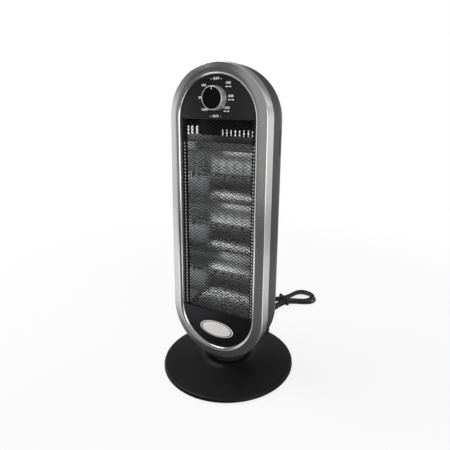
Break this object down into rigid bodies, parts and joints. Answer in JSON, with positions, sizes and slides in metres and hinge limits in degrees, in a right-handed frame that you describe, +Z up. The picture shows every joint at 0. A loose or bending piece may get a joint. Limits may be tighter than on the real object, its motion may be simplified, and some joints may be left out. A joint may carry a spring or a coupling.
{
  "type": "halogen heater",
  "caption": "Free-standing oscillating halogen heater: an upright rounded body with a wire-mesh window over halogen lamps and one rotary control, on a round base with a mains cord.",
  "frame": {"origin": "centre of the round base, on the floor it stands on, straight below the swivel axis", "axes": "+Z up along the swivel axis, the heater's front (window and knob) faces -Y, +X is on the right as seen from the front"},
  "size_m": [0.2734, 0.5251, 0.6091],
  "materials": {
    "silver_paint": "metallic silver paint on moulded plastic",
    "shell_plastic": "satin",
    "panel_plastic": "satin gloss",
    "base_plastic": "satin",
    "badge": "plain pale plate",
    "grille_wire": "satin black",
    "reflector_sheet": "polished",
    "zinc_steel": "zinc plated",
    "ceramic": "unglazed white ceramic",
    "quartz": "clear",
    "filament": "grey tungsten",
    "knob_metal": "satin chrome plating",
    "knob_plastic": "satin",
    "cream_plastic": "matt",
    "rubber": "matt",
    "pin_brass": "plated"
  },
  "bodies": {
    "base": {"base_cover": "base_plastic", "base_plate": "zinc_steel", "foot_1": "rubber", "foot_2": "rubber", "foot_3": "rubber", "foot_4": "rubber", "tip_switch": "cream_plastic", "swivel_post": "zinc_steel", "swing_arm": "zinc_steel", "post_nut": "zinc_steel", "thrust_washer": "cream_plastic", "cord_outlet": "base_plastic", "strain_relief": "rubber", "cord_lead": "rubber", "cord_hank": "rubber", "cord_tail": "rubber", "cord_tie": "rubber", "plug_body": "rubber", "plug_pin_1": "pin_brass", "plug_pin_2": "pin_brass"},
    "heater_body": {"bezel": "silver_paint", "rear_shell": "shell_plastic", "shell_screw_1": "zinc_steel", "shell_screw_2": "zinc_steel", "shell_screw_3": "zinc_steel", "shell_screw_4": "zinc_steel", "upper_panel": "panel_plastic", "lower_panel": "panel_plastic", "badge_plate": "badge", "grille": "grille_wire", "lamp_bracket_right": "zinc_steel", "lamp_bracket_left": "zinc_steel", "reflector": "reflector_sheet", "heat_shield": "zinc_steel", "control_baffle": "zinc_steel", "quartz_tube_1": "quartz", "filament_1": "filament", "lamp_cap_right_1": "ceramic", "lamp_cap_left_1": "ceramic", "quartz_tube_2": "quartz", "filament_2": "filament", "lamp_cap_right_2": "ceramic", "lamp_cap_left_2": "ceramic", "quartz_tube_3": "quartz", "filament_3": "filament", "lamp_cap_right_3": "ceramic", "lamp_cap_left_3": "ceramic", "thermal_cutout": "cream_plastic", "rotary_switch": "cream_plastic", "neck_collar": "base_plastic", "swivel_plate": "zinc_steel", "oscillation_motor": "zinc_steel", "terminal_block": "cream_plastic"},
    "crank": {"motor_crank": "zinc_steel"},
    "knob": {"knob_ring": "knob_metal", "knob_face": "knob_plastic", "switch_shaft": "zinc_steel"},
    "tip_plunger": {"tip_plunger": "cream_plastic"}
  },
  "joints": [
    {"name": "body_swing", "type": "hinge", "parent": "base", "child": "heater_body", "pos_m": [0, 0, 0], "axis": [0, 0, 1], "range_deg": [-35, 35]},
    {"name": "crank_turn", "type": "hinge", "parent": "heater_body", "child": "crank", "pos_m": [0, -0.024, 0.06], "axis": [0, 0, 1], "range_deg": [-125, 125]},
    {"name": "knob_turn", "type": "hinge", "parent": "heater_body", "child": "knob", "pos_m": [0, -0.06, 0.546], "axis": [0, -1, 0], "continuous": true},
    {"name": "tip_press", "type": "slide", "parent": "base", "child": "tip_plunger", "axis": [0, 0, -1], "range_m": [0, 0.005], "stiffness_N_per_m": 60, "springref_m": 0.006}
  ],
  "couplings": [
    {"joint": "crank_turn", "follows": "body_swing", "ratio": -3.5714}
  ]
}
